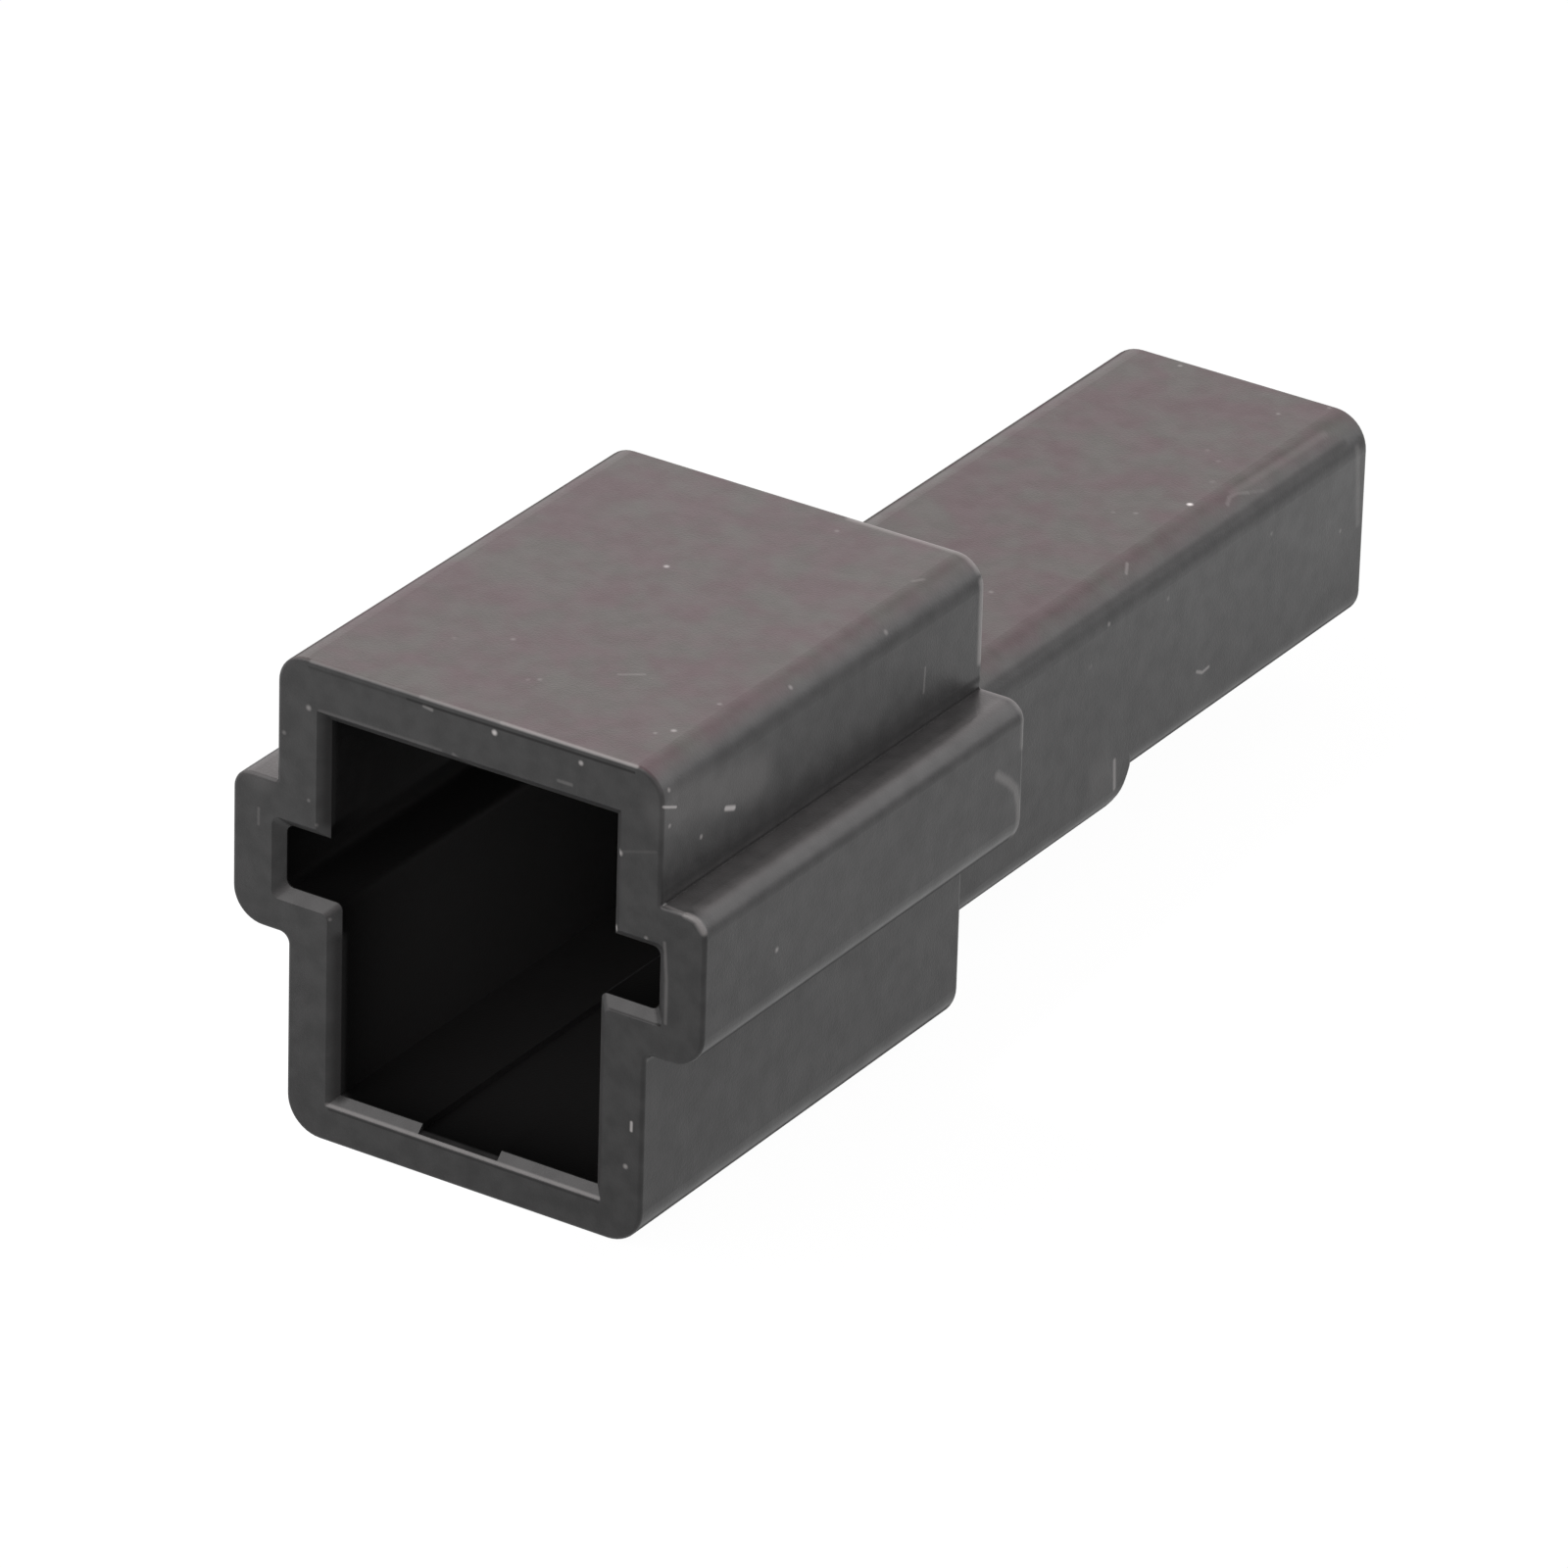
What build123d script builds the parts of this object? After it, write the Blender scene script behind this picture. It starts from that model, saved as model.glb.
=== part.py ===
"""Two-pin connector plug: a one-piece moulded housing that holds two blade terminals.

Millimetres. Origin at the centre of the mating face, x across, +Y from the mouth to the wire end,
+Z up. Heights called a rise are measured up from the underside of the shroud, and the finished
pieces are lowered by half the shroud's height at the end.
"""
import os

from build123d import *

# Terminals and the cavities that hold them
terminal_pitch = 4.0        # between the two blades
cavity_width = 3.3
cavity_height = 3.3         # room for the terminal's box
lance_room = 1.7            # height under the box, for the lance
block_wall = 0.75           # thickness round the cavities
slide_gap = 0.15            # between a terminal and the housing
slot_gap = 0.06             # round the blade in the end wall

# Shroud, the socket that takes the mating plug
mate_wall = 0.5             # wall of the mating plug beside its own cavities
mating_gap = 0.08
mouth_height = 11.4
mouth_depth = 14.2
side_wall = 1.6
shroud_floor = 1.4
shroud_ceiling = 1.75
end_wall = 1.8
stop_wall = 1.2             # front of the end wall, which the terminals' boxes stop against
upper_step = 0.4            # each upper side stands out past the lower side by this
lead_in = 0.3               # 45 degree bevel round the mouth
top_corner = 0.9
bottom_corner = 1.1
edge_round = 0.12           # rim of the mating face
rear_round = 0.18           # outer edges at the back of the shroud

# Side ribs, hollow keyways at mid height
rib_rise = 6.0
channel_height = 1.9
rib_floor = 1.3
rib_ceiling = 1.4
rib_reach = 1.45            # each rib stands out past the upper side by this
rib_top_corner = 0.6
rib_bottom_corner = 1.0
rib_foot = 0.3              # concave corner under the rib
rib_crown = 0.05            # concave corner above the rib
channel_corner = 0.25       # along the outer side of each keyway
channel_lip = 0.2           # where the keyway's floor meets the lower mouth

# Key groove in the floor of the mouth
groove_width = 2.6
groove_offset = -0.2        # towards the left, seen from the front
groove_depth = 0.22

# Latch ledge under the ceiling of the mouth
ledge_width = 3.0
ledge_setback = 4.2
ledge_length = 2.8
ledge_flat = 0.6
ledge_drop = 0.7

# Terminal block, the slim rear body
block_rise = 2.5
block_length = 24.1
block_top_corner = 1.1
block_bottom_corner = 0.85
keel_length = 11.45         # deeper front part of the block
keel_drop = 0.85
keel_corner = 0.8           # along both lower edges
keel_heel = 2.2             # under the back end
keel_back_round = 0.25      # upright edges at the back end
entry_bevel = 0.35          # above and below each wire entry
entry_side_bevel = 0.12     # less at the sides, where the wall between the two entries is thin

# Lances, the sprung fingers that hold the terminals in
lance_width = 1.7
lance_side_gap = 0.3
lance_setback = 2.2         # from the stop wall to the lance's nose
lance_beam = 0.8
lance_nose = 1.2
lance_ramp = 1.0
lance_foot = 1.2
lance_root = 1.1            # height at the root, at the back of the pocket
catch_depth = 0.4           # how far the nose reaches into the terminal's box
lance_box_gap = 0.35        # between the lance's beam and the terminal's box

# Blade terminals, folded from sheet
sheet = 0.32
blade_width = 2.3
blade_reach = 3.5           # how far the blade stands into the mouth
blade_point = 0.45          # length of the tapered tip
blade_tip = 0.22            # thickness left at the tip
blade_corner = 0.3          # how far each side is drawn in at the tip
box_length = 5.4
catch_gap = 0.2             # round the nose in the box's opening
neck_width = 2.0
neck_height = 1.3
neck_length = 1.2
wire_barrel = 2.4           # outer diameter
wire_barrel_length = 2.6
grip_barrel_length = 2.2
grip_neck_length = 0.9
seam = 0.12                 # slit along each rolled barrel
barrel_flat = 0.06          # depth of the flat under each barrel
neck_lap = 0.3              # how far a neck runs into a barrel

# Levels and widths that follow from the sizes above
pair_width = terminal_pitch + cavity_width
lower_mouth = pair_width + 2 * (mate_wall + mating_gap)
upper_mouth = lower_mouth + 2 * upper_step
lower_width = lower_mouth + 2 * side_wall
upper_width = upper_mouth + 2 * side_wall
shroud_height = shroud_floor + mouth_height + shroud_ceiling
shroud_length = mouth_depth + end_wall
cavity_start = mouth_depth + stop_wall
overall_length = shroud_length + block_length
mouth_top = shroud_floor + mouth_height

channel_bottom = rib_rise + rib_floor
channel_top = channel_bottom + channel_height
rib_top = channel_top + rib_ceiling
rib_span = upper_width + 2 * rib_reach
channel_span = rib_span - 2 * side_wall

block_width = pair_width + 2 * block_wall
block_height = 2 * block_wall + lance_room + cavity_height
block_top = block_rise + block_height
cavity_floor = block_rise + block_wall
shelf = cavity_floor + lance_room
cavity_top = shelf + cavity_height
keel_rise = block_rise - keel_drop
keel_end = shroud_length + keel_length
pocket_floor = keel_rise + block_wall
pocket_end = keel_end - block_wall

box_width = cavity_width - 2 * slide_gap
box_height = cavity_height - 2 * slide_gap
box_bottom = shelf + slide_gap
blade_rise = box_bottom + box_height / 2
blade_thickness = 2 * sheet
box_start = cavity_start + slide_gap
lance_tip = cavity_start + lance_setback
lance_channel = lance_width + 2 * lance_side_gap
lance_top = box_bottom - lance_box_gap
nose_top = box_bottom + catch_depth
grip_barrel = box_height    # outer diameter


def profile(points, radii):
    """A closed outline in x and z, each corner rounded by its own radius."""
    return make_face(Plane.XZ * FilletPolyline(*points, radius=radii, close=True))


def run(face, start, end):
    """An x and z section run along +Y from start to end."""
    return Pos(0, start, 0) * extrude(face, amount=end - start, dir=(0, 1, 0))


def bar(width, bottom, top, start, end, x=0.0):
    """A square-edged bar along Y, centred on x."""
    return Pos(x, (start + end) / 2, (bottom + top) / 2) * Box(width, end - start, top - bottom)


def side_plate(points, width, x=0.0):
    """A plate of the given width, centred on x, from an outline in y and z."""
    face = make_face(Plane.YZ * Polyline(*points, close=True))
    return Pos(x - width / 2, 0, 0) * extrude(face, amount=width, dir=(1, 0, 0))


def cross(lower, upper, arms, bottom, arm_bottom, arm_top, top):
    """Corners of a stepped section with an arm on each side, from the lower left, anticlockwise."""
    right = [(lower, bottom), (lower, arm_bottom), (arms, arm_bottom), (arms, arm_top),
             (upper, arm_top), (upper, top)]
    right = [(width / 2, rise) for width, rise in right]
    left = [(-x, rise) for x, rise in reversed(right)]
    return right + left


def end_edges(shape, last):
    """The outer edges of the face at the front end of a shape, or at its back end."""
    face = shape.faces().filter_by(Axis.Y).sort_by(Axis.Y)[-1 if last else 0]
    return face.outer_wire().edges()


def shroud_body():
    """The outside of the shroud, solid, with its ribs."""
    points = cross(lower_width, upper_width, rib_span, 0, rib_rise, rib_top, shroud_height)
    right = [bottom_corner, rib_foot, rib_bottom_corner, rib_top_corner, rib_crown, top_corner]
    body = run(profile(points, right + right[::-1]), 0, shroud_length)
    body = fillet(end_edges(body, last=False), edge_round)
    return fillet(end_edges(body, last=True), rear_round)


def mouth():
    """The space that takes the mating plug, with its lead-in and key groove."""
    points = cross(lower_mouth, upper_mouth, channel_span,
                   shroud_floor, channel_bottom, channel_top, mouth_top)
    rim = cross(lower_mouth + 2 * lead_in, upper_mouth + 2 * lead_in, channel_span + 2 * lead_in,
                shroud_floor - lead_in, channel_bottom - lead_in, channel_top + lead_in,
                mouth_top + lead_in)
    right = [0, channel_lip, channel_corner, channel_corner, 0, 0]
    radii = right + right[::-1]
    bevel = loft([profile(rim, radii), Pos(0, lead_in, 0) * profile(points, radii)])
    groove = bar(groove_width, shroud_floor - groove_depth, channel_bottom, 0, mouth_depth,
                 groove_offset)
    return run(profile(points, radii), 0, mouth_depth) + bevel + groove


def latch_ledge():
    """The ramp that the mating plug's latch snaps behind."""
    back = ledge_setback + ledge_length
    return side_plate([(ledge_setback, mouth_top), (back - ledge_flat, mouth_top - ledge_drop),
                       (back, mouth_top - ledge_drop), (back, mouth_top)], ledge_width)


def block_body():
    """The outside of the terminal block, solid, with the keel under its front part."""
    half = block_width / 2
    points = [(half, block_rise), (half, block_top), (-half, block_top), (-half, block_rise)]
    radii = [block_bottom_corner, block_top_corner, block_top_corner, block_bottom_corner]
    block = run(profile(points, radii), mouth_depth, overall_length)
    block = fillet(end_edges(block, last=True), rear_round)
    middle = block_rise + block_height / 2
    section = profile([(half, keel_rise), (half, middle), (-half, middle), (-half, keel_rise)],
                      [keel_corner, 0, 0, keel_corner])
    side = Plane.YZ * FilletPolyline((mouth_depth, keel_rise), (keel_end, keel_rise),
                                     (keel_end, middle), (mouth_depth, middle),
                                     radius=[0, keel_heel, 0, 0], close=True)
    plan = Plane.XY * FilletPolyline((-half, mouth_depth), (half, mouth_depth), (half, keel_end),
                                     (-half, keel_end), close=True,
                                     radius=[0, 0, keel_back_round, keel_back_round])
    keel = run(section, mouth_depth, keel_end)
    keel &= Pos(-half, 0, 0) * extrude(make_face(side), amount=block_width, dir=(1, 0, 0))
    return block + (keel & extrude(make_face(plan), amount=block_top))


def cavity(x):
    """One terminal cavity: box room, lance room, the pocket in the keel and the wire entry."""
    room = bar(cavity_width, shelf, cavity_top, cavity_start, overall_length, x)
    room += bar(lance_channel, pocket_floor, shelf, cavity_start, pocket_end, x)
    room += bar(cavity_width, cavity_floor, shelf, pocket_end, overall_length, x)
    bevel = min(entry_bevel, block_wall / 2)
    height = cavity_top - cavity_floor
    entry = Pos(x, overall_length - bevel, cavity_floor + height / 2) * Plane.XZ
    inner = entry * Rectangle(cavity_width, height)
    outer = entry * Pos(0, 0, -bevel) * Rectangle(cavity_width + 2 * entry_side_bevel,
                                                  height + 2 * bevel)
    window = bar(lance_channel, pocket_floor, nose_top + catch_gap, mouth_depth, cavity_start, x)
    half_slot = blade_thickness / 2 + slot_gap
    slot = bar(blade_width + 2 * slot_gap, blade_rise - half_slot, blade_rise + half_slot,
               mouth_depth, cavity_start, x)
    return room + loft([inner, outer]) + window + slot


def lance(x):
    """The sprung finger under one terminal, rooted in the keel and pointing to the mouth."""
    ramp_end = lance_tip + lance_nose + lance_ramp
    return side_plate([(pocket_end, pocket_floor), (pocket_end - lance_foot, pocket_floor),
                       (lance_tip, lance_top - lance_beam), (lance_tip, nose_top),
                       (lance_tip + lance_nose, nose_top), (ramp_end, lance_top),
                       (pocket_end, pocket_floor + lance_root)], lance_width, x)


def housing():
    """The whole moulding."""
    solid = shroud_body() + block_body() - mouth() + latch_ledge()
    for x in (-terminal_pitch / 2, terminal_pitch / 2):
        solid = solid - cavity(x) + lance(x)
    return solid


def blade():
    """The flat contact blade, two sheets thick, tapered at its tip."""
    tip = mouth_depth - blade_reach
    shoulder = tip + blade_point
    root = box_start + sheet
    half = blade_thickness / 2
    half_tip = blade_tip / 2
    plate = side_plate([(tip, blade_rise - half_tip), (shoulder, blade_rise - half),
                        (root, blade_rise - half), (root, blade_rise + half),
                        (shoulder, blade_rise + half), (tip, blade_rise + half_tip)], blade_width)
    width = blade_width / 2
    plan = Plane.XY * Polyline((blade_corner - width, tip), (width - blade_corner, tip),
                               (width, shoulder), (width, root), (-width, root), (-width, shoulder),
                               close=True)
    return plate & Pos(0, 0, blade_rise - half) * extrude(make_face(plan), amount=blade_thickness)


def contact_box():
    """The folded box that the lance holds, closed at the front and open at the back."""
    end = box_start + box_length
    box = bar(box_width, box_bottom, box_bottom + box_height, box_start, end)
    box -= bar(box_width - 2 * sheet, box_bottom + sheet, box_bottom + box_height - sheet,
               box_start + sheet, end)
    opening_end = lance_tip + lance_nose + lance_ramp + catch_gap
    return box - bar(lance_width + 2 * catch_gap, box_bottom, box_bottom + sheet,
                     lance_tip - catch_gap, opening_end)


def barrel(diameter, start, end):
    """A rolled crimp barrel with its seam on top and a flat at the level of the box's underside."""
    length = end - start
    centre = box_bottom - barrel_flat + diameter / 2
    axis = Pos(0, start + length / 2, centre) * Rot(90, 0, 0)
    ring = axis * Cylinder(diameter / 2, length) - axis * Cylinder(diameter / 2 - sheet, length)
    ring -= bar(diameter, box_bottom - diameter, box_bottom, start, end)
    return ring - bar(seam, centre, centre + diameter, start, end)


def neck(start, end):
    """The open channel that joins the box and the barrels."""
    return (bar(neck_width, box_bottom, box_bottom + neck_height, start, end)
            - bar(neck_width - 2 * sheet, box_bottom + sheet, box_bottom + neck_height, start, end))


def terminal(x):
    """One blade terminal in its cavity."""
    box_end = box_start + box_length
    wire_start = box_end + neck_length
    wire_end = wire_start + wire_barrel_length
    grip_start = wire_end + grip_neck_length
    piece = blade() + contact_box() + neck(box_end - neck_lap, wire_start + neck_lap)
    piece += barrel(wire_barrel, wire_start, wire_end)
    piece += neck(wire_end - neck_lap, grip_start + neck_lap)
    piece += barrel(grip_barrel, grip_start, grip_start + grip_barrel_length)
    return Pos(x, 0, 0) * piece


pieces = {
    "housing": housing(),
    "terminal_left": terminal(-terminal_pitch / 2),
    "terminal_right": terminal(terminal_pitch / 2),
}

os.makedirs("parts", exist_ok=True)
for name, shape in pieces.items():
    export_step(Pos(0, 0, -shroud_height / 2) * shape, f"parts/{name}.step")
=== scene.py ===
"""Looks of the two-pin connector plug: black moulded housing with two tin-plated blade terminals."""
import math

import bpy
from mathutils import Matrix, Vector


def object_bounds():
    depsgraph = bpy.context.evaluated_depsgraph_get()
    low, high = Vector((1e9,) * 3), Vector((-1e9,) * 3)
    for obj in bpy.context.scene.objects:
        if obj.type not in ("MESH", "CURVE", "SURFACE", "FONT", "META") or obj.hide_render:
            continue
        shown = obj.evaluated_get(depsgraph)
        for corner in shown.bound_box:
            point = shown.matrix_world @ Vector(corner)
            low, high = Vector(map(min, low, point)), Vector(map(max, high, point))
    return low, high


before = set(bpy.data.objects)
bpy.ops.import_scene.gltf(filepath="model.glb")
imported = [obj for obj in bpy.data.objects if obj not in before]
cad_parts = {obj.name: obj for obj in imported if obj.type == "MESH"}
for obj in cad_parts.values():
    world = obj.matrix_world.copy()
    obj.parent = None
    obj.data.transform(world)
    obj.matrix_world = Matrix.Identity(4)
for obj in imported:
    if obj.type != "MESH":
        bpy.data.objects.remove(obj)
cad_low, cad_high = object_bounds()

# Places are in millimetres in the housing's frame: x across, y from the mouth to the wire entries, z up from
# the middle of the shroud. Colours are linear. A pair for a ramp says where it is 0 and where it is 1.
MM = 0.001
base = cad_low.z / MM

# Camera, fitted to the outline of the housing; the aim's height is above the floor
focal_pixels = 12771.5
frame_pixels = 1600.0
sensor = 36.0
azimuth = math.radians(32.356)
elevation = math.radians(27.333)
roll = math.radians(1.674)
aim = Vector((3.669, 9.997, 9.319 + base)) * MM
distance = 341.73 * MM
clip_near = 0.01
clip_far = 10.0

# Painted highlights along edges and painted sheen on the right rib and the shroud's side above it, mixed
# with real scuffs and specks in the plastic: half width, lightness, then the points of the line
scuffs_and_highlights = (
    # Painted highlights on the top edge at the front, and on the edges at the back of the shroud and of the
    # right rib
    (0.07, 0.12, (-5.15, 0.04, 7.26), (-1.6, 0.04, 7.26)),
    (0.07, 0.20, (-1.6, 0.04, 7.26), (1.0, 0.04, 7.26)),
    (0.07, 0.28, (1.0, 0.04, 7.26), (5.35, 0.04, 7.26)),
    (0.17, 0.19, (1.9, 15.86, 7.25), (5.7, 15.86, 7.25), (6.1, 15.86, 6.95)),
    (0.16, 0.26, (6.23, 15.82, 6.6), (6.23, 15.82, 4.2)),
    (0.14, 0.13, (6.4, 15.86, 3.32), (7.1, 15.86, 3.31), (7.5, 15.86, 3.14), (7.68, 15.86, 2.7),
     (7.68, 15.86, 2.0)),
    (0.16, 0.13, (7.68, 14.6, 1.6), (7.68, 15.2, 1.15), (7.68, 15.6, 0.75), (7.68, 15.78, 0.2),
     (7.68, 15.8, -0.3), (7.6, 15.8, -0.75), (7.3, 15.75, -1.05)),
    # Painted highlights on the edges of the keel and of the rear block, with a painted glow beside the
    # keel's end
    (0.09, 0.26, (4.4, 26.38, -3.85), (4.4, 26.44, -4.75)),
    (0.75, 0.03, (4.4, 25.6, -3.9), (4.4, 25.9, -4.4)),
    (0.14, 0.07, (4.4, 39.5, 0.9), (4.4, 39.7, -1.6)),
    (0.15, 0.05, (3.75, 33.5, 1.66), (3.85, 38.5, 1.64)),
    # Painted highlights on the edges of the mating face and on the right rib's front corner, and scratches
    # in the face
    (0.06, 0.09, (6.39, 0.0, 2.3), (6.48, 0.0, 1.2), (6.48, 0.0, -0.1)),
    (0.06, 0.05, (-4.84, 0.0, 5.86), (-0.9, 0.0, 5.86)),
    (0.06, 0.09, (-0.48, 0.0, 5.86), (0.18, 0.2, 5.6)),
    (0.06, 0.09, (2.9, 0.0, 6.1), (3.32, 0.0, 6.1)),
    (0.05, 0.03, (5.0, 0.0, 4.62), (6.05, 0.0, 4.92)),
    (0.08, 0.13, (6.3, 0.16, 3.34), (7.0, 0.08, 3.33)),
    (0.12, 0.22, (7.0, 0.08, 3.33), (7.35, 0.06, 3.26), (7.6, 0.05, 2.98)),
    (0.06, 0.18, (-4.5, 0.04, -6.13), (4.45, 0.04, -6.13)),
    # Painted sheen and highlights along the top of the right rib and on the shroud's right side above it,
    # among real specks and scratches there
    (0.05, 0.03, (6.25, 1.2, 3.46), (6.25, 5.0, 3.46)),
    (0.45, 0.035, (6.6, 0.5, 3.33), (6.6, 9.0, 3.33)),
    (0.45, 0.02, (6.6, 9.0, 3.33), (6.6, 15.5, 3.33)),
    (0.30, 0.06, (7.1, 0.6, 3.33), (7.1, 15.4, 3.33)),
    (0.05, 0.50, (6.23, 0.05, 6.3), (6.23, 0.65, 6.05)),
    (0.08, 0.30, (6.2, 0.36, 6.67)),
    (0.08, 0.30, (6.23, 0.36, 5.61)),
    (0.09, 0.60, (6.23, 3.1, 4.98), (6.23, 3.5, 4.83)),
    (0.8, 0.065, (6.23, 0.6, 6.1), (6.23, 4.6, 5.3)),
    (0.08, 0.30, (6.23, 1.91, 4.63)),
    # Specks and scratches all over
    (0.09, 0.45, (-0.58, 10.39, 7.27)),
    (0.10, 0.95, (3.23, 31.97, 1.72)),
    (0.06, 0.20, (-1.45, 0.0, 7.02), (-1.2, 0.0, 6.98)),
    (0.09, 0.70, (0.83, 0.0, 6.91)),
    (0.08, 0.45, (3.61, 0.0, 6.84)),
    (0.09, 0.25, (-5.2, 0.0, 5.84)),
    (0.09, 0.32, (5.02, 2.31, 7.27)),
    (0.07, 0.14, (4.7, 1.9, 7.27)),
    # a broad, soft, lighter patch on the left rib's top near the front
    (0.6, 0.05, (-6.9, 0.3, 3.35), (-6.6, 3.0, 3.35)),
    (0.05, 0.13, (6.23, 12.98, 5.15), (6.23, 12.94, 4.4)),
    (0.06, 0.28, (4.4, 30.8, -2.82), (4.4, 31.1, -2.97), (4.4, 31.45, -2.93)),
    (0.06, 0.13, (3.70, 27.80, 1.65), (3.90, 27.42, 1.53)),
    (0.08, 0.20, (4.39, 25.77, 0.74)),
    (0.07, 0.18, (5.8, 0.0, 2.26)),
    (0.10, 0.60, (4.72, 0.2, 2.15)),
    (0.10, 0.50, (4.9, 0.03, 4.55)),
    (0.05, 0.50, (5.47, 0.0, -3.45), (5.47, 0.0, -3.7)),
    (0.08, 0.32, (5.31, 0.0, -4.85)),
    (0.09, 0.30, (7.68, 3.55, 0.96)),
    (0.07, 0.14, (-6.0, 0.0, 4.85)),
    (0.05, 0.07, (-6.82, 0.0, 2.3), (-6.82, 0.0, 1.82)),
    (0.06, 0.14, (-4.46, 0.05, -0.41)),
    (0.06, 0.12, (-5.17, 0.0, 3.04)),
    (0.06, 0.12, (-4.9, 0.0, 2.36)),
    (0.08, 0.13, (1.99, 14.98, 7.27)),
    (0.09, 0.16, (6.05, 11.17, 6.91)),
    (0.07, 0.10, (5.35, 13.6, 7.25), (5.5, 13.9, 7.22)),
    (0.08, 0.14, (1.63, 23.84, 1.72)),
    (0.08, 0.14, (-1.48, 4.27, 7.27)),
    (0.08, 0.06, (-2.8, 3.38, 7.27)),
    (0.06, 0.10, (2.0, 4.2, 7.27), (2.55, 4.6, 7.27)),
    (0.08, 0.12, (0.45, 2.7, 7.27)),
    (0.07, 0.08, (0.2, 2.5, 7.27)),
    (0.08, 0.11, (4.4, 34.7, 0.04)),
    (0.08, 0.08, (1.78, 35.31, 1.72)),
    (0.09, 0.07, (2.41, 34.88, 1.72)),
    (0.10, 0.06, (2.98, 33.62, 1.72)),
    (0.08, 0.07, (1.72, 30.23, 1.72)),
    (0.08, 0.16, (2.18, 38.61, 1.72)),
    (0.08, 0.20, (-1.84, 39.7, 1.72)),
    (0.07, 0.16, (4.4, 38.7, -1.46)),
    (0.08, 0.07, (3.91, 32.93, 1.54), (3.79, 33.25, 1.61), (3.80, 33.6, 1.60), (3.95, 34.0, 1.51)),
    (0.07, 0.03, (3.95, 34.0, 1.51), (4.10, 34.6, 1.38)),
    (0.07, 0.12, (3.18, 39.83, 1.72)),
    (0.08, 0.16, (5.15, 4.33, 7.27)),
    (0.08, 0.20, (5.92, 6.64, 7.06)),
    (0.08, 0.12, (2.28, 30.56, 1.72)),
    (0.08, 0.12, (4.4, 28.99, 0.25)),
    (0.09, 0.06, (4.4, 24.83, -0.22)),
)

# Painted shade: dark lines in corners and creases, along the rear block's right top edge, under edges and on
# the mouth's bevel: half width, depth, then the ends of the line
painted_shade_lines = (
    (0.12, 0.38, (6.23, 0.3, 3.64), (6.23, 15.8, 3.64)),
    (0.16, 0.30, (4.3, 16.6, 1.27), (4.3, 39.0, 1.27)),
    (0.05, 1.00, (6.25, 0.3, 3.36), (6.25, 15.8, 3.36)),
    (0.05, 0.40, (-5.2, 0.0, 7.07), (-2.0, 0.0, 7.07)),
    (0.05, 0.80, (-2.0, 0.0, 7.07), (5.3, 0.0, 7.07)),
    (0.05, 0.90, (4.65, 0.0, -0.22), (6.3, 0.0, -0.22)),
    (0.04, 0.60, (-4.4, 0.0, -6.24), (4.45, 0.0, -6.24)),
    (0.30, 0.75, (-4.25, 0.28, -5.8), (-4.25, 0.28, -1.1)),
    (0.30, 0.75, (-4.65, 0.28, 2.5), (-4.65, 0.28, 5.5)),
)

# How far from a mark's or dark line's middle it has faded out and where it is whole, in half widths
mark_fade = (1.4, 0.2)

# The mouth and its two keyways behind their bevelled rim, as boxes where near-black shade is painted:
# middle, then half the size
hollows = (
    ((0.0, 7.06, 0.0), (4.7, 6.80, 6.4)),
    ((0.0, 7.06, 1.0), (6.3, 6.80, 1.4)),
)
hollow_edge = (0.0, 0.12)       # how far inside a box the painted black shade starts and is whole

# Ramps over the housing
facing_up = (0.5, 0.95)         # z of the surface's normal
past_shroud = (15.9, 16.1)      # y
past_block_side = (0.8, 1.2)    # z
past_ribs = (4.5, 5.5)          # z
silhouette = (0.74, 0.92)       # Layer Weight's Facing

# Noise in the plastic: features to the millimetre, detail
mottle_noise = (0.75, 2.5)
cloud_noise = (1.6, 4.0)
grain_noise = (14.0, 2.0)
fine_noise = (34.0, 1.0)
noise_range = (0.3, 0.7)

# Colours of the plastic, and of a painted warm sheen on the tops, the darker and the lighter of each pair
# mixed by the cloud noise
grey = ((0.0088, 0.0088, 0.0089, 1), (0.0152, 0.0152, 0.0153, 1))
sheen_greenish = ((0.0108, 0.0092, 0.0052, 1), (0.0178, 0.0162, 0.0122, 1))
sheen_reddish = ((0.0240, 0.0057, 0.0092, 1), (0.0310, 0.0127, 0.0162, 1))
top_sheen_share = 0.65               # share of the painted greenish and reddish sheen, on faces that look up
block_top_shade = (0.0085, 0.0085, 0.0085, 1)  # painted shade, taken off the top sheen on top of the rear block
# lightness of the marks: painted highlights and sheen as well as real wear
highlight_and_wear = (0.32, 0.31, 0.305, 1)
# colour of the painted shade lines
painted_shade_black = (0.003, 0.003, 0.003, 1)

# Painted shade: blackening inside the mouth, which eases with depth because less light gets there
painted_mouth_shade = ((0.0005, 0.0005, 0.0005, 1), (0.046, 0.046, 0.046, 1))
painted_mouth_shade_ease = (0.09, 0.05)        # to the millimetre, on walls and on floors

# Gloss and relief of the plastic
rough_range = (0.30, 0.36)
rough_grain = 0.08
rough_hollow = 0.29
rough_dull = 0.95               # in dark lines and where the surface turns away
nylon_ior = 1.35
grain_height = 0.7
fine_height = 0.3
bump_strength = 0.35
bump_depth = 0.00002

# Tin plating: streaks along the terminals
streak_noise = (3.0, 3.0, (1.0, 0.15, 1.0))
tin_colours = ((0.62, 0.60, 0.56, 1), (0.76, 0.745, 0.71, 1))
tin_rough = (0.28, 0.42)

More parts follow.
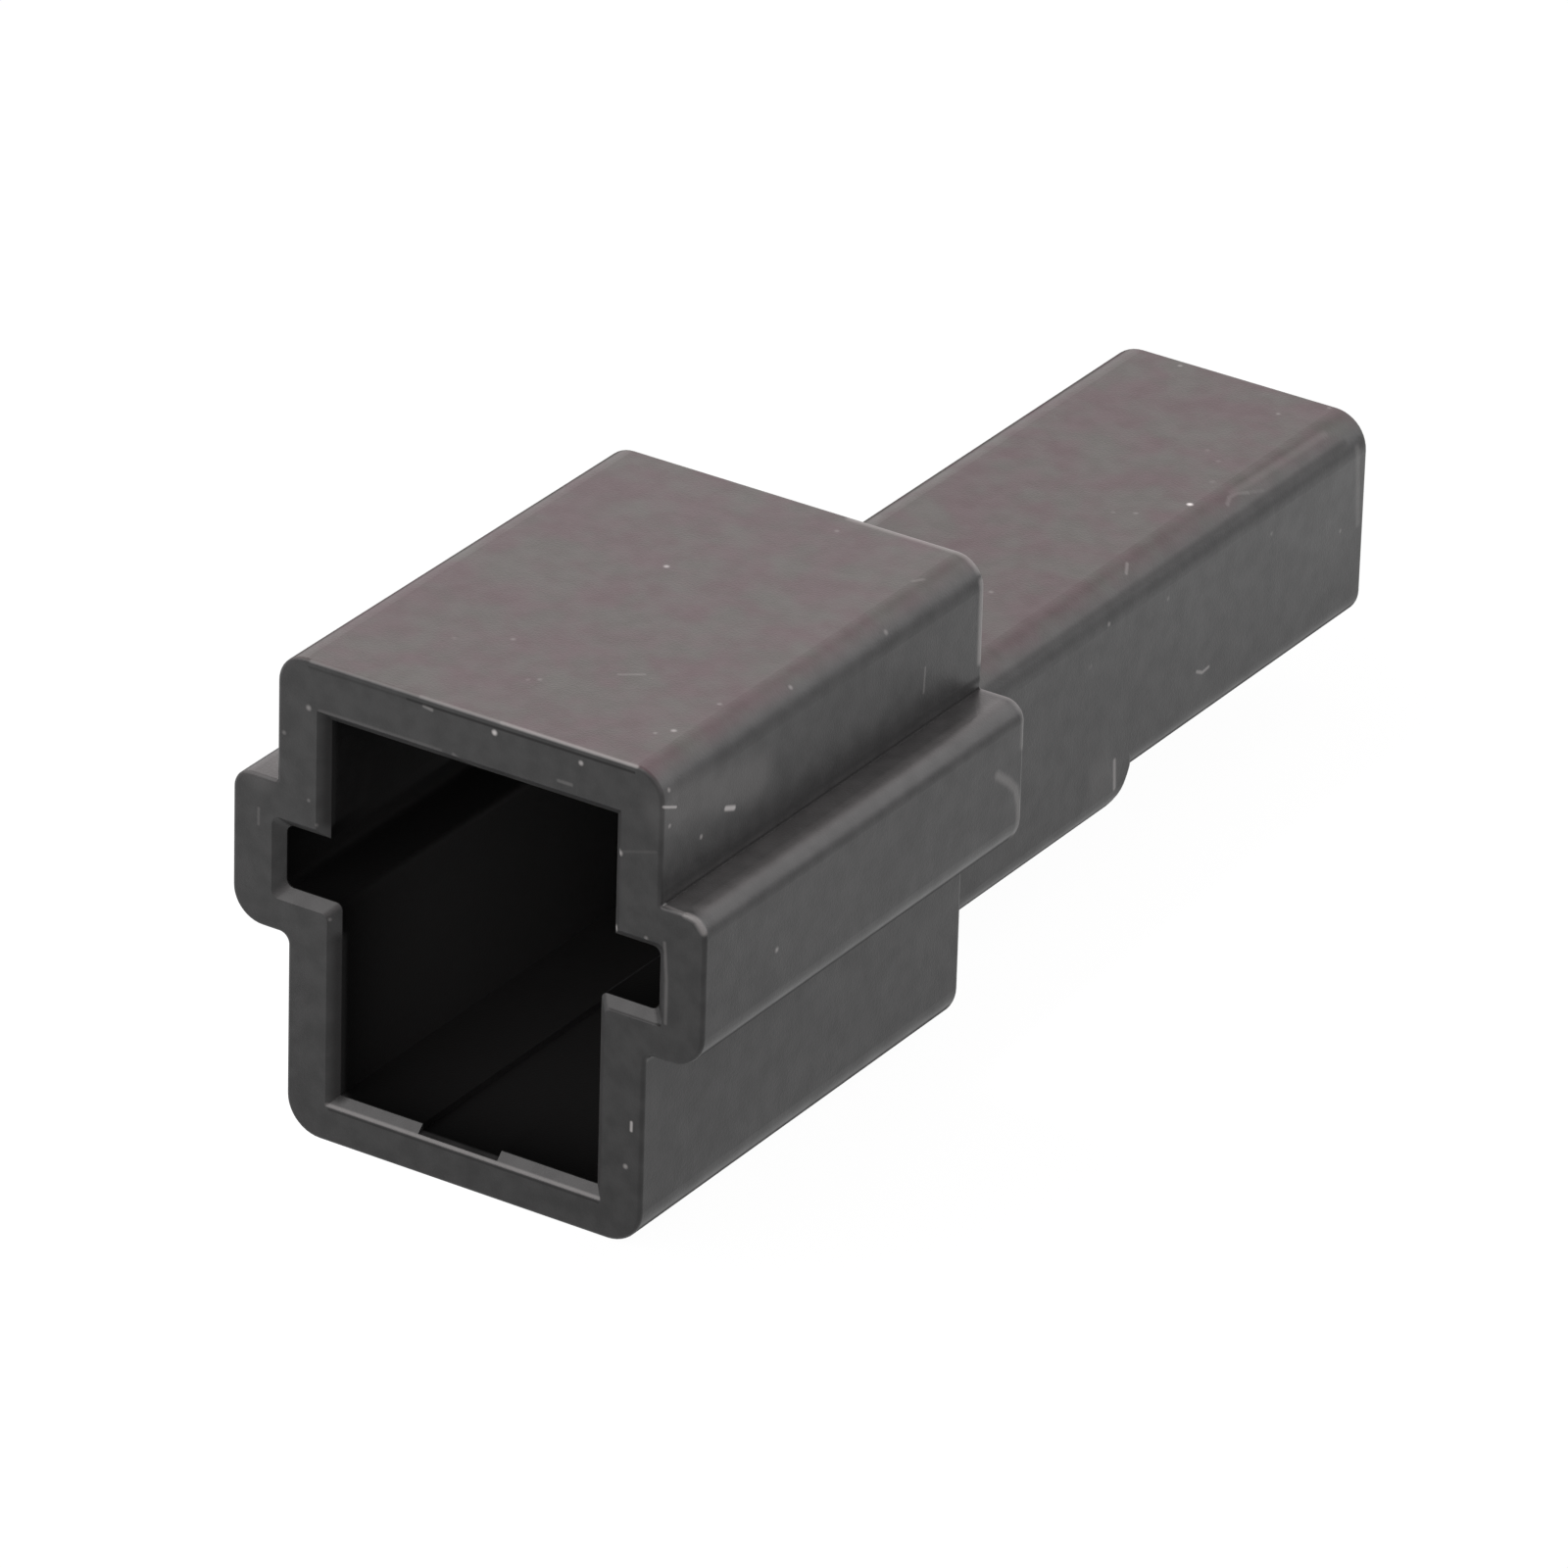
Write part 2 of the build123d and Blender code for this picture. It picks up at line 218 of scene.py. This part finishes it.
# Floor, and its brighter parts: light, then the ramps along the axes that bound each
floor_half = 2.0
floor_light = 0.972
floor_colour = (0.015, 0.015, 0.015, 1)
floor_rough = 0.9
floor_glows = (
    (0.68, ("Y", 12.0, 58.0), ("X", 26.0, 14.0), ("X", 7.0, 12.0)),
    (0.6, ("X", 6.0, -26.0), ("Y", 18.0, -4.0)),
    (0.13, ("Y", 12.0, 18.0), ("Y", 27.0, 20.0), ("X", 7.5, 10.0)),
    (0.2, ("Y", 36.0, 54.0), ("X", 16.0, 14.0), ("X", 7.0, 10.0)),
)

# Sky: dim at the horizon and full above it, between these heights on a sphere of radius 1
horizon = (math.sin(math.radians(2)), math.sin(math.radians(24)))
sky_low = (0.5, 0.5, 0.51, 1)
sky_high = (2.40, 2.27, 2.29, 1)

# Cloths lit apart from the sky: the way to each, cosines of its outer and inner edge, light
panels = (
    ((-0.476, 0.749, 0.461), 0.86, 0.97, (2.26, 2.13, 2.14, 1)),
    ((-0.476, -0.461, 0.749), 0.80, 0.95, (4.3, 4.2, 4.2, 1)),
    ((0.66, 0.75, 0.10), 0.93, 0.985, (1.5, 1.5, 1.52, 1)),
    ((0.40, 0.75, 0.48), 0.88, 0.96, (3.6, 3.55, 3.55, 1)),
)


def camera():
    """The camera at the photograph's angle."""
    back = Vector((math.sin(azimuth) * math.cos(elevation), -math.cos(azimuth) * math.cos(elevation),
                   math.sin(elevation)))
    right = Vector((math.cos(azimuth), math.sin(azimuth), 0.0))
    up = back.cross(right)
    right, up = (right * math.cos(roll) + up * math.sin(roll), up * math.cos(roll) - right * math.sin(roll))
    data = bpy.data.cameras.new("camera")
    data.sensor_width = sensor
    data.lens = focal_pixels / frame_pixels * sensor
    data.clip_start = clip_near
    data.clip_end = clip_far
    obj = bpy.data.objects.new("camera", data)
    bpy.context.scene.collection.objects.link(obj)
    turn = Matrix((right, up, back)).transposed().to_4x4()
    obj.matrix_world = Matrix.Translation(aim + back * distance) @ turn
    bpy.context.scene.camera = obj


def link(tree, value, socket):
    """Feeds a socket from another socket, or sets it to a plain value."""
    if isinstance(value, bpy.types.NodeSocket):
        tree.links.new(value, socket)
    else:
        socket.default_value = value


def math_node(tree, operation, *values):
    """A Math node with its inputs fed in order."""
    node = tree.nodes.new("ShaderNodeMath")
    node.operation = operation
    for value, socket in zip(values, node.inputs):
        link(tree, value, socket)
    return node.outputs[0]


def vector_node(tree, operation, *values):
    """A Vector Math node with its inputs fed in order."""
    node = tree.nodes.new("ShaderNodeVectorMath")
    node.operation = operation
    for value, socket in zip(values, node.inputs):
        link(tree, value, socket)
    return node.outputs["Value" if operation in ("DOT_PRODUCT", "DISTANCE", "LENGTH") else "Vector"]


def scaled(tree, vector, factor):
    """A vector times a number."""
    node = tree.nodes.new("ShaderNodeVectorMath")
    node.operation = "SCALE"
    link(tree, vector, node.inputs[0])
    link(tree, factor, node.inputs[3])
    return node.outputs[0]


def separate(tree, vector):
    """The x, y and z of a vector."""
    node = tree.nodes.new("ShaderNodeSeparateXYZ")
    tree.links.new(vector, node.inputs[0])
    return node.outputs


def mix_value(tree, share, low, high):
    """A number between low and high."""
    node = tree.nodes.new("ShaderNodeMix")
    link(tree, share, node.inputs[0])
    link(tree, low, node.inputs[2])
    link(tree, high, node.inputs[3])
    return node.outputs[0]


def mix_colour(tree, share, low, high, blend="MIX"):
    """A colour between low and high, or low with a share of high blended in another way."""
    node = tree.nodes.new("ShaderNodeMix")
    node.data_type = "RGBA"
    node.blend_type = blend
    link(tree, share, node.inputs[0])
    link(tree, low, node.inputs[6])
    link(tree, high, node.inputs[7])
    return node.outputs[2]


def ramp(tree, value, start, end):
    """0 before start, 1 past end, smooth between them; start may be the higher one."""
    node = tree.nodes.new("ShaderNodeMapRange")
    node.interpolation_type = "SMOOTHSTEP"
    link(tree, value, node.inputs[0])
    node.inputs[1].default_value = start
    node.inputs[2].default_value = end
    return node.outputs[0]


def place_mm(tree):
    """The point on the surface in the housing's frame, in millimetres."""
    return scaled(tree, tree.nodes.new("ShaderNodeTexCoord").outputs["Object"], 1 / MM)


def noise(tree, place, per_mm, detail, stretch=(1.0, 1.0, 1.0)):
    """Smooth noise round 0.5 with so many features to the millimetre."""
    mapping = tree.nodes.new("ShaderNodeMapping")
    tree.links.new(place, mapping.inputs["Vector"])
    mapping.inputs["Scale"].default_value = stretch
    node = tree.nodes.new("ShaderNodeTexNoise")
    tree.links.new(mapping.outputs[0], node.inputs["Vector"])
    node.inputs["Scale"].default_value = per_mm
    node.inputs["Detail"].default_value = detail
    return node.outputs["Fac"]


def material(name):
    """A material with its tree and its Principled shader."""
    made = bpy.data.materials.new(name)
    made.use_nodes = True
    return made, made.node_tree, made.node_tree.nodes["Principled BSDF"]


def line_gap(tree, place, start, end):
    """How far the surface is from the line between two points, in millimetres."""
    along = Vector(end) - Vector(start)
    offset = vector_node(tree, "SUBTRACT", place, start)
    share = vector_node(tree, "DOT_PRODUCT", offset, along / along.length_squared)
    share = math_node(tree, "MAXIMUM", math_node(tree, "MINIMUM", share, 1.0), 0.0)
    return vector_node(tree, "DISTANCE", offset, scaled(tree, along, share))


def mark_gap(tree, place, points):
    """How far the surface is from a point, or from the lines that join several, in millimetres."""
    if len(points) == 1:
        return vector_node(tree, "DISTANCE", place, points[0])
    gap = line_gap(tree, place, points[0], points[1])
    for start, end in zip(points[1:], points[2:]):
        gap = math_node(tree, "MINIMUM", gap, line_gap(tree, place, start, end))
    return gap


def strongest(tree, place, rows):
    """The strength of the strongest of some marks or dark lines, 0 away from them."""
    total = 0.0
    for half_width, strength, *points in rows:
        gone, whole = (half_width * share for share in mark_fade)
        near = ramp(tree, mark_gap(tree, place, points), gone, whole)
        total = math_node(tree, "MAXIMUM", total, math_node(tree, "MULTIPLY", near, strength))
    return total


def inside_box(tree, place, centre, half):
    """1 inside a box, 0 outside it, with a soft edge just inside its faces."""
    offset = vector_node(tree, "ABSOLUTE", vector_node(tree, "SUBTRACT", place, centre))
    x, y, z = separate(tree, vector_node(tree, "SUBTRACT", half, offset))
    depth = math_node(tree, "MINIMUM", math_node(tree, "MINIMUM", x, y), z)
    return ramp(tree, depth, *hollow_edge)


def nylon():
    """Black moulded nylon: fine spark-eroded grain, mottled tone, scuffs and specks, and painted light: a
    warm sheen on the tops, highlights along edges, shade lines in creases and under edges, and near-black
    shade inside the mouth.
    """
    made, tree, shader = material("housing_nylon")
    place = place_mm(tree)
    mottle = ramp(tree, noise(tree, place, *mottle_noise), *noise_range)
    cloud = ramp(tree, noise(tree, place, *cloud_noise), *noise_range)
    grain = noise(tree, place, *grain_noise)
    fine = noise(tree, place, *fine_noise)
    facing = tree.nodes.new("ShaderNodeLayerWeight")
    rim = ramp(tree, facing.outputs["Facing"], *silhouette)
    normal = separate(tree, tree.nodes.new("ShaderNodeTexCoord").outputs["Normal"])
    _, y, z = separate(tree, place)

    # Painted warm sheen in two tints on the faces that look up, on the tops of the shroud and the rear
    # block, with painted shade taking some of it off the rear block's top
    block_top = math_node(tree, "MINIMUM", ramp(tree, y, *past_shroud), ramp(tree, z, *past_block_side))
    tops = math_node(tree, "MAXIMUM", ramp(tree, z, *past_ribs), block_top)
    upward = ramp(tree, normal["Z"], *facing_up)
    top_sheen = math_node(tree, "MULTIPLY", upward, math_node(tree, "MULTIPLY", tops, top_sheen_share))
    colour = mix_colour(tree, cloud, *grey)
    sheen_green = mix_colour(tree, cloud, *sheen_greenish)
    sheen_red = mix_colour(tree, cloud, *sheen_reddish)
    colour = mix_colour(tree, top_sheen, colour, mix_colour(tree, mottle, sheen_green, sheen_red))
    block_top_shade_share = math_node(tree, "MULTIPLY", block_top, top_sheen)
    colour = mix_colour(tree, block_top_shade_share, colour, block_top_shade, "SUBTRACT")

    # Painted highlights and sheen mixed with real wear, painted shade lines, and painted near-black shade
    # inside the mouth
    colour = mix_colour(tree, strongest(tree, place, scuffs_and_highlights), colour, highlight_and_wear)
    mouth, keyways = (inside_box(tree, place, centre, half) for centre, half in hollows)
    hollow = math_node(tree, "MAXIMUM", mouth, keyways)
    # painted shade: dark lines in creases, corners and under edges
    painted_dark = strongest(tree, place, painted_shade_lines)
    colour = mix_colour(tree, painted_dark, colour, painted_shade_black)
    # painted shade inside the mouth: near black at the front, easing to dark grey deeper in
    ease = math_node(tree, "MULTIPLY", y, mix_value(tree, upward, *painted_mouth_shade_ease))
    colour = mix_colour(tree, hollow, colour, mix_colour(tree, ease, *painted_mouth_shade))
    link(tree, colour, shader.inputs["Base Color"])

    # Gloss and relief
    rough = mix_value(tree, mottle, *rough_range)
    rough = math_node(tree, "ADD", rough, math_node(tree, "MULTIPLY", grain, rough_grain))
    rough = mix_value(tree, hollow, rough, rough_hollow)
    rough = mix_value(tree, math_node(tree, "MAXIMUM", rim, painted_dark), rough, rough_dull)
    link(tree, rough, shader.inputs["Roughness"])
    shader.inputs["IOR"].default_value = nylon_ior
    coarse = math_node(tree, "MULTIPLY", grain, grain_height)
    height = math_node(tree, "ADD", coarse, math_node(tree, "MULTIPLY", fine, fine_height))
    bump = tree.nodes.new("ShaderNodeBump")
    bump.inputs["Strength"].default_value = bump_strength
    bump.inputs["Distance"].default_value = bump_depth
    link(tree, height, bump.inputs["Height"])
    link(tree, bump.outputs[0], shader.inputs["Normal"])
    return made


def tin():
    """Satin tin plating on folded brass."""
    made, tree, shader = material("terminal_metal")
    streak = noise(tree, place_mm(tree), *streak_noise)
    link(tree, mix_colour(tree, streak, *tin_colours), shader.inputs["Base Color"])
    shader.inputs["Metallic"].default_value = 1.0
    link(tree, mix_value(tree, streak, *tin_rough), shader.inputs["Roughness"])
    return made


def dress():
    """Gives each solid its material."""
    plastic, metal = nylon(), tin()
    for name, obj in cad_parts.items():
        obj.data.materials.clear()
        obj.data.materials.append(plastic if name == "housing" else metal)


def floor():
    """A plain white floor, lit more strongly at the back, beside the rear block and on the left."""
    half = floor_half
    z = cad_low.z
    corners = [(-half, -half, z), (half, -half, z), (half, half, z), (-half, half, z)]
    mesh = bpy.data.meshes.new("floor")
    mesh.from_pydata(corners, [], [(0, 1, 2, 3)])
    obj = bpy.data.objects.new("floor", mesh)
    bpy.context.scene.collection.objects.link(obj)
    made, tree, shader = material("floor")
    place = separate(tree, place_mm(tree))
    light = floor_light
    for glow, *ramps in floor_glows:
        for axis, start, end in ramps:
            glow = math_node(tree, "MULTIPLY", glow, ramp(tree, place[axis], start, end))
        light = math_node(tree, "ADD", light, glow)
    shader.inputs["Base Color"].default_value = floor_colour
    shader.inputs["Roughness"].default_value = floor_rough
    shader.inputs["Specular IOR Level"].default_value = 0.0
    shader.inputs["Emission Color"].default_value = (1, 1, 1, 1)
    link(tree, light, shader.inputs["Emission Strength"])
    mesh.materials.append(made)


def lights():
    """Soft studio light: a broad bright sky of cloth, dim at the horizon and brightest at the front left."""
    world = bpy.data.worlds.new("studio")
    bpy.context.scene.world = world
    world.use_nodes = True
    tree = world.node_tree
    toward = tree.nodes.new("ShaderNodeTexCoord").outputs["Generated"]
    height = ramp(tree, separate(tree, toward)["Z"], *horizon)
    sky = mix_colour(tree, height, sky_low, sky_high)
    for direction, outer, inner, colour in panels:
        facing = vector_node(tree, "DOT_PRODUCT", toward, Vector(direction).normalized())
        sky = mix_colour(tree, ramp(tree, facing, outer, inner), sky, colour)
    tree.links.new(sky, tree.nodes["Background"].inputs["Color"])


camera()
dress()
floor()
lights()
bpy.context.scene.view_settings.view_transform = "Standard"
